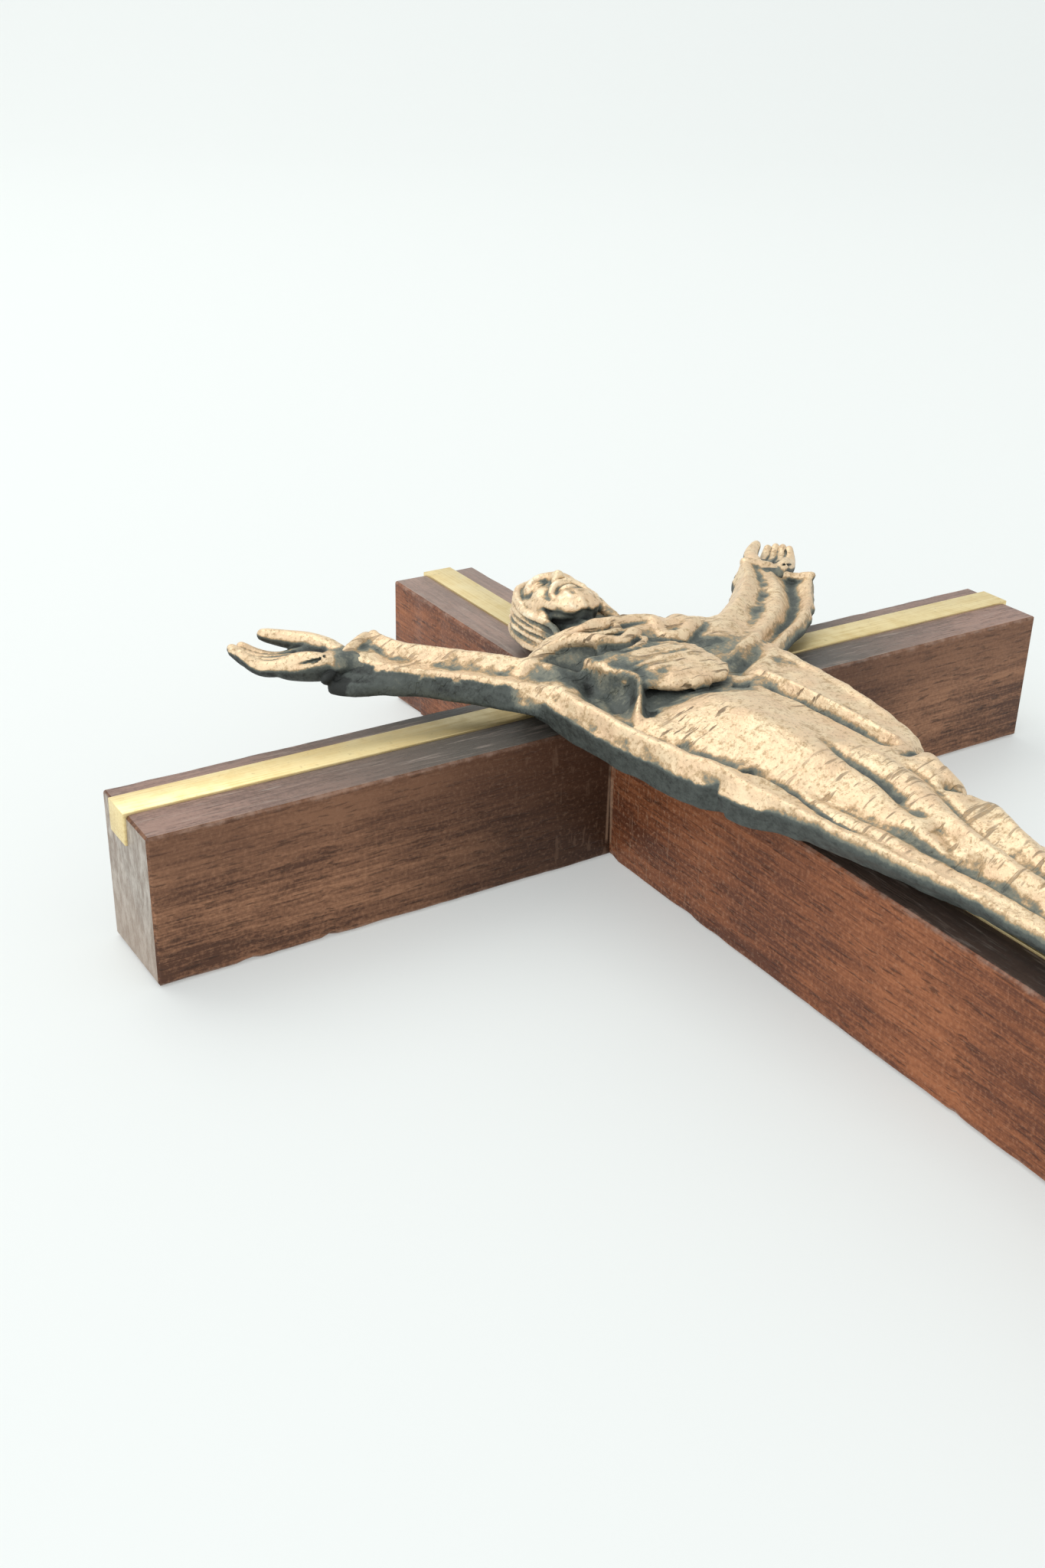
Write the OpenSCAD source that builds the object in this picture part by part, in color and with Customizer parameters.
// Wooden cross with inlaid brass strips and a cast figure of the risen Christ.
// It lies on its back: +X to the right arm, +Y to the top arm, +Z out of the front.
// The origin is the crossing's centre, on the back face. Millimetres.

/* [Wooden beams] */
// Width of both beams, seen from the front
beam_w = 19; // [17:0.5:24]
// Depth of both beams, from back to front
beam_d = 26.5; // [24:0.5:32]
// Length of the crossbar
span = 188; // [160:1:230]
// Length of the upright
height = 305; // [260:1:360]
// From the crossing's centre to the top end
top_arm = 70.5; // [60:0.5:90]
// Small chamfer on every long edge
edge_break = 0.4; // [0.2:0.1:1]

/* [Brass inlay] */
// Width of the strips
strip_w = 6.4; // [5.6:0.1:7]
// Thickness of the strips
strip_t = 1.2; // [0.8:0.1:1.6]
// How far a strip stands out of the wood
strip_proud = 0.4; // [0.1:0.1:0.6]
// Length of the end that is folded down over the end grain
strip_fold = 5.2; // [3:0.1:8]
// The upright's strip lies this far to the right of the middle
upright_strip_shift = 1; // [-1:0.1:1.5]
// The crossbar's strips lie this far above the middle
crossbar_strip_shift = 2.2; // [-2.5:0.1:2.5]

/* [Cast figure] */
// Gap between the wood's front and the back rim of the casting
figure_gap = 0.8; // [0.5:0.1:2]
// Wall thickness of the hollow casting
figure_wall = 2.6; // [2:0.1:3.5]
// Thickness of the sleeves at their lower edge
sleeve_rim = 2.3; // [1.8:0.1:3]

/* [Fixings] */
// Diameter of the machine screws that hold the figure
screw_d = 4; // [3:0.5:4]
// Length of the machine screws under the head
screw_l = 25; // [24:1:26]
// Depth of the counterbores in the back
counterbore_l = 7; // [6:0.5:8]
// Length of the hanger plate
hanger_l = 32; // [30:1:40]
// Width of the hanger plate
hanger_w = 14; // [13:0.5:15]
// Thickness of the hanger plate
hanger_t = 1.4; // [1:0.1:2]

/* [Hidden] */
$fn = 48;
bite = 1;                              // how far a cutter runs past the face that it opens
joint_gap = 0.05;                      // glue line in the lap joint and under the strips

walnut = [0.36, 0.20, 0.13];
brass = [0.86, 0.70, 0.36];
bronze = [0.72, 0.52, 0.34];
steel = [0.62, 0.62, 0.62];

bottom_y = top_arm - height;
front_z = beam_d;
strip_top = front_z + strip_proud;
groove_l = strip_t - strip_proud + joint_gap;
fold_notch = strip_fold + joint_gap;

screw_x = upright_strip_shift;
upper_screw_y = -4;
lower_screw_y = -72;
screw_ys = [upper_screw_y, lower_screw_y];
clearance_d = screw_d + 0.4;
head_d = 8;
head_h = 2.8;
socket_d = 4.2;
washer_d = 9;
washer_t = 0.8;
counterbore_d = 9.6;
boss_d = 8;
boss_tops = [36.9, 35.2];               // inside the casting's front wall

hanger_y = 52;
hanger_pocket_l = 9;                   // depth of the hollow that takes the wall screw's head
keyhole_r = 4.5;
keyslot_w = 4.6;
keyslot_l = 7.5;
hanger_screw_gap = 25;
hanger_screw_d = 2.4;
hanger_screw_l = 10;
hanger_head_d = 4.6;
hanger_head_h = 1;

// ---------------------------------------------------------------- wood

// A rectangle with its corners cut off, centred on the origin
module chamfered_rectangle(w, h, c) {
  polygon([
    [-w / 2 + c, -h / 2], [w / 2 - c, -h / 2], [w / 2, -h / 2 + c], [w / 2, h / 2 - c],
    [w / 2 - c, h / 2], [-w / 2 + c, h / 2], [-w / 2, h / 2 - c], [-w / 2, -h / 2 + c]
  ]);
}

// A beam along Y, centred in X, its back on z = 0, with every edge chamfered
module beam(l) {
  translate([0, 0, beam_d / 2])
    intersection() {
      rotate([90, 0, 0])
        linear_extrude(l, center = true)
          chamfered_rectangle(beam_w, beam_d, edge_break);
      linear_extrude(beam_d, center = true)
        chamfered_rectangle(beam_w, l, edge_break);
      rotate([90, 0, 90])
        linear_extrude(beam_w, center = true)
          chamfered_rectangle(l, beam_d, edge_break);
    }
}

// The groove for a strip along Y, with the notch for its folded end
module strip_groove(y_from, y_to, x, ends) {
  w = strip_w + 2 * joint_gap;
  translate([x - w / 2, y_from - bite, front_z - groove_l])
    cube([w, y_to - y_from + 2 * bite, groove_l + bite]);
  for (end = ends)
    translate([x - w / 2, end - groove_l, front_z - fold_notch])
      cube([w, 2 * groove_l, fold_notch + bite]);
}

// Counterbored hole for a figure screw, from the back
module figure_screw_hole(y) {
  translate([screw_x, y, -bite]) {
    cylinder(d = clearance_d, h = beam_d + 2 * bite);
    cylinder(d = counterbore_d, h = counterbore_l + bite);
  }
}

// Seat, hollow and pilot holes for the hanger plate, in the back of the top arm
module hanger_seat() {
  gap = 0.15;
  translate([-hanger_w / 2 - gap, hanger_y - hanger_l / 2 - gap, -bite])
    cube([hanger_w + 2 * gap, hanger_l + 2 * gap, hanger_t + 0.1 + bite]);
  translate([0, hanger_y, 0])
    for (y = [-keyslot_l / 2, keyslot_l / 2])
      translate([0, y, 0])
        cylinder(r = keyhole_r + 1, h = hanger_pocket_l);
  translate([-keyhole_r - 1, hanger_y - keyslot_l / 2, 0])
    cube([2 * keyhole_r + 2, keyslot_l, hanger_pocket_l]);
  for (side = [-1, 1])
    translate([0, hanger_y + side * hanger_screw_gap / 2, 0])
      cylinder(d = hanger_screw_d + 0.1, h = hanger_screw_l + hanger_t + 1);
}

module upright() {
  color(walnut)
    difference() {
      translate([0, (top_arm + bottom_y) / 2, 0])
        beam(height);
      // half lap: the back half makes room for the crossbar
      translate([-beam_w, -beam_w / 2 - joint_gap, -bite])
        cube([2 * beam_w, beam_w + 2 * joint_gap, beam_d / 2 + joint_gap + bite]);
      strip_groove(bottom_y, top_arm, upright_strip_shift, [bottom_y, top_arm]);
      // the crossbar's strips run on over the upright as far as its own strip
      translate([-beam_w, crossbar_strip_shift - strip_w / 2 - joint_gap, front_z - groove_l])
        cube([2 * beam_w, strip_w + 2 * joint_gap, groove_l + bite]);
      for (y = screw_ys)
        figure_screw_hole(y);
      hanger_seat();
    }
}

module crossbar() {
  color(walnut)
    difference() {
      rotate([0, 0, -90])
        beam(span);
      // half lap: the front half makes room for the upright
      translate([-beam_w / 2 - joint_gap, -beam_w, beam_d / 2])
        cube([beam_w + 2 * joint_gap, 2 * beam_w, beam_d]);
      rotate([0, 0, -90])
        strip_groove(-span / 2, span / 2, -crossbar_strip_shift, [-span / 2, span / 2]);
      figure_screw_hole(upper_screw_y);
    }
}

// ---------------------------------------------------------------- brass inlay

// A strip along Y between two places, proud of the wood, folded down at each place in ends
module strip(y_from, y_to, x, ends) {
  low = front_z - strip_t + strip_proud;
  y0 = len([for (e = ends) if (e < 0) e]) > 0 ? y_from - strip_proud : y_from;
  y1 = len([for (e = ends) if (e > 0) e]) > 0 ? y_to + strip_proud : y_to;
  translate([x - strip_w / 2, y0, low])
    cube([strip_w, y1 - y0, strip_t]);
  for (e = ends)
    translate([x - strip_w / 2, e < 0 ? y0 : y1 - strip_t, strip_top - strip_proud - strip_fold])
      cube([strip_w, strip_t, strip_fold + strip_proud]);
}

module upright_inlay() {
  color(brass)
    difference() {
      strip(bottom_y, top_arm, upright_strip_shift, [bottom_y, top_arm]);
      for (y = screw_ys)
        translate([screw_x, y, front_z - strip_t - bite])
          cylinder(d = clearance_d, h = strip_t + 2 * bite);
    }
}

// The crossbar's strip from one end to the upright's strip; side is -1 left, 1 right
module side_inlay(side) {
  inner = upright_strip_shift + side * (strip_w / 2 + joint_gap);
  color(brass)
    rotate([0, 0, -90])
      if (side < 0)
        strip(-span / 2, inner, -crossbar_strip_shift, [-span / 2]);
      else
        strip(inner, span / 2, -crossbar_strip_shift, [span / 2]);
}

// ---------------------------------------------------------------- cast figure

figure_back = front_z + figure_gap;
hem_y = -113;
neck_y = 6;

// Half the robe's width, the height of its rims and that of its middle, along Y
robe_half = [
  [-113, 10.8], [-105, 9.8], [-95, 10.2], [-86, 11.8], [-75, 13.4], [-63, 15.8], [-55, 17.5],
  [-52, 19], [-40, 21.8], [-28, 23.4], [-14, 23.8], [-6, 22], [0, 18], [6, 10]
];
robe_rim = [[-113, 33], [-95, 33.3], [-63, 34], [-52, 35], [-14, 35.6], [0, 36], [6, 35.5]];
robe_crown = [
  [-113, 35.6], [-95, 36], [-75, 36.8], [-60, 37.6], [-40, 39], [-32, 38.8], [-25, 36.4],
  [-21, 38.6], [-12, 38.8], [0, 38.6], [6, 36.5]
];
body_ys = [-113, -105, -95, -86, -75, -63, -55, -52, -40, -32, -28, -25, -21, -14, -6, -0.5, 6];

// Outline of the body in X and Z at one place along Y, drawn in by inset; the cut
// that hollows the back out runs down to z = low
function body_outline(y, inset, low) =
  let (
    w = lookup(y, robe_half) - inset,
    rim = lookup(y, robe_rim) - inset,
    crown = lookup(y, robe_crown) - inset,
    foot = w - 3.5,
    half = [
      [foot, low], [w, low + 4.2], [w + 0.4, rim - 1], [w - 0.8, rim],
      [w * 0.72, rim + 0.4], [w * 0.45, (rim + crown) / 2 + 0.6], [w * 0.2, crown - 0.2]
    ]
  )
  concat(half, [for (i = [6:-1:0]) [-half[i][0], half[i][1]]]);

// A closed skin over outlines of equal length, one for each place in ys
module loft(ys, outlines) {
  n = len(outlines[0]);
  m = len(ys);
  polyhedron(
    points = [for (j = [0:m - 1]) for (q = outlines[j]) [q[0], ys[j], q[1]]],
    faces = concat(
      [[for (i = [n - 1:-1:0]) i]],
      [for (j = [0:m - 2]) for (i = [0:n - 1])
        [j * n + i, j * n + (i + 1) % n, (j + 1) * n + (i + 1) % n, (j + 1) * n + i]],
      [[for (i = [0:n - 1]) (m - 1) * n + i]]
    ),
    convexity = 6
  );
}

// A blunt bar through a list of [x, y, z, radius]
module bar(points, facets = 10) {
  for (i = [0:len(points) - 2])
    hull()
      for (q = [points[i], points[i + 1]])
        translate([q[0], q[1], q[2]])
          sphere(r = q[3], $fn = facets);
}

module robe_body() {
  difference() {
    loft(body_ys, [for (y = body_ys) body_outline(y, 0, figure_back)]);
    // hollow back, open towards the wood
    inner = [for (y = body_ys) if (y > hem_y + 2 && y < neck_y - 4) y];
    loft(inner, [for (y = inner) body_outline(y, figure_wall, figure_back - 3)]);
  }
}

// One sleeve: wide and flat, higher over the arm, with a thick edge that hangs below it
module sleeve() {
  shoulder = [[14, 1, 34, 3.4], [17, -12, 33.5, 2.6], [29, -5, 33, 2]];
  cuff = [[42.5, 20.5, 34.4, 3], [49, 12.5, 32.9, 1.9]];
  hull()
    for (q = concat(shoulder, cuff))
      translate([q[0], q[1], q[2]])
        sphere(r = q[3], $fn = 14);
  // lower edge from the armpit out to the cuff's hanging corner
  bar([[22, -12, 33.4, sleeve_rim], [34, -3, 32.9, sleeve_rim], [48.5, 10.5, 32.7, sleeve_rim]], 12);
}

// One open hand, palm to the front, fingers outwards and thumb to the head's side
module hand() {
  bar([[41, 14.5, 34.6, 2.6], [46.8, 18.2, 35, 2.3]]);
  hull() {
    translate([47, 19.5, 35]) sphere(r = 2, $fn = 12);
    translate([48, 16.8, 34.8]) sphere(r = 2, $fn = 12);
    translate([51.5, 25.4, 34.6]) sphere(r = 1.5, $fn = 12);
    translate([55, 21.8, 34.4]) sphere(r = 1.5, $fn = 12);
  }
  for (i = [0:3]) {
    root = [51.5 + 1.1 * i, 25.4 - 1.2 * i, 34.5];
    bar([
      [root[0], root[1], root[2], 1.2],
      [root[0] + 4.2, root[1] + 3.8, root[2] - 0.6, 1.1],
      [root[0] + 7 - 0.3 * i, root[1] + 6.2, root[2] + 0.4, 0.9]
    ], 8);
  }
  bar([[48.5, 23.5, 35, 1.6], [51.5, 28.5, 35, 1.3], [55.5, 32.6, 35.6, 1]], 8);
}

// Head with hair to the shoulders and a short beard, face to the front
module head() {
  bar([[0, 4, 33.5, 4], [0, 12, 34, 4.2]], 14);
  hull() {
    translate([0, 20.5, 34.6]) sphere(r = 6.3, $fn = 20);
    translate([0, 13, 35.6]) sphere(r = 4.2, $fn = 16);
  }
  // hair over the crown and down both sides
  hull()
    for (q = [[0, 23.2, 33.9, 6.5], [-4.2, 18.6, 32.5, 4.8], [4.2, 18.6, 32.5, 4.8]])
      translate([q[0], q[1], q[2]])
        sphere(r = q[3], $fn = 18);
  for (side = [-1, 1])
    bar([
      [side * 5.8, 20, 33, 3.4], [side * 7, 12, 32, 2.9], [side * 8.5, 4, 32.5, 2.4]
    ], 12);
  // beard and nose
  bar([[0, 11.5, 38.3, 2.7], [0, 8.6, 38.8, 1.7]], 12);
  bar([[0, 21.5, 40.2, 0.9], [0, 17.6, 41.6, 1.1]], 10);
}

// Bare feet under the hem, toes down
module feet() {
  for (side = [-1, 1])
    bar([
      [side * 4, hem_y + 3, 32.5, 2.8], [side * 4.2, hem_y - 5, 32.4, 2.5],
      [side * 4.8, hem_y - 11, 31, 2.1]
    ], 12);
}

module figure() {
  collar = [[-12, 2, 36, 2.4], [-7, 0, 38, 2.2], [0, -2, 39, 2.1], [7, 0, 38, 2.2], [12, 2, 36, 2.4]];
  color(bronze)
    difference() {
      union() {
        robe_body();
        bar(collar, 12);
        head();
        feet();
        for (side = [0, 1])
          mirror([side, 0, 0]) {
            sleeve();
            hand();
          }
        // pillars that the screws go into, standing on the upright's strip
        for (i = [0, 1])
          translate([screw_x, screw_ys[i], strip_top])
            cylinder(d = boss_d, h = boss_tops[i] - strip_top, $fn = 32);
      }
      for (y = screw_ys)
        translate([screw_x, y, strip_top - bite])
          cylinder(d = screw_d + 0.1, h = 6 + bite, $fn = 32);
    }
}

// ---------------------------------------------------------------- fixings

// Pan head machine screw, head towards the back, with a hexagon socket
module figure_screw(y) {
  seat = counterbore_l - washer_t;
  color(steel)
    translate([screw_x, y, seat])
      difference() {
        union() {
          cylinder(d = screw_d, h = screw_l);
          rotate_extrude()
            polygon([
              [0, -head_h], [head_d / 2 - 0.8, -head_h], [head_d / 2, -head_h + 0.8],
              [head_d / 2, 0], [0, 0]
            ]);
        }
        translate([0, 0, -head_h - bite])
          linear_extrude(bite + 1.6)
            circle(d = socket_d, $fn = 6);
      }
}

module figure_washers() {
  color(steel)
    for (y = screw_ys)
      translate([screw_x, y, counterbore_l - washer_t])
        difference() {
          cylinder(d = washer_d, h = washer_t);
          translate([0, 0, -bite])
            cylinder(d = clearance_d, h = washer_t + 2 * bite);
        }
}

// Keyhole plate, let in flush with the back: the wide hole towards the bottom arm
module hanger_plate() {
  color(brass)
    difference() {
      translate([-hanger_w / 2, hanger_y - hanger_l / 2, 0])
        cube([hanger_w, hanger_l, hanger_t]);
      translate([0, hanger_y - keyslot_l / 2, -bite])
        cylinder(r = keyhole_r, h = hanger_t + 2 * bite);
      translate([-keyslot_w / 2, hanger_y - keyslot_l / 2, -bite])
        cube([keyslot_w, keyslot_l, hanger_t + 2 * bite]);
      translate([0, hanger_y + keyslot_l / 2, -bite])
        cylinder(d = keyslot_w, h = hanger_t + 2 * bite);
      for (side = [-1, 1])
        translate([0, hanger_y + side * hanger_screw_gap / 2, 0]) {
          translate([0, 0, -bite])
            cylinder(d = hanger_screw_d + 0.2, h = hanger_t + 2 * bite);
          translate([0, 0, -0.01])
            cylinder(d = hanger_head_d + 0.2, h = hanger_head_h + 0.05);
        }
    }
}

// Small cheese head wood screws, slotted, their points in the wood
module hanger_screws() {
  slot_w = 0.7;
  color(brass)
    for (side = [-1, 1])
      translate([0, hanger_y + side * hanger_screw_gap / 2, 0])
        difference() {
          union() {
            cylinder(d = hanger_head_d, h = hanger_head_h);
            cylinder(d = hanger_screw_d, h = hanger_screw_l);
          }
          translate([-hanger_head_d, -slot_w / 2, -bite])
            cube([2 * hanger_head_d, slot_w, 0.6 + bite]);
        }
}

upright();
crossbar();
upright_inlay();
side_inlay(-1);  // left_inlay
side_inlay(1);  // right_inlay
figure();
figure_screw(upper_screw_y);  // upper_figure_screw
figure_screw(lower_screw_y);  // lower_figure_screw
figure_washers();
hanger_plate();
hanger_screws();
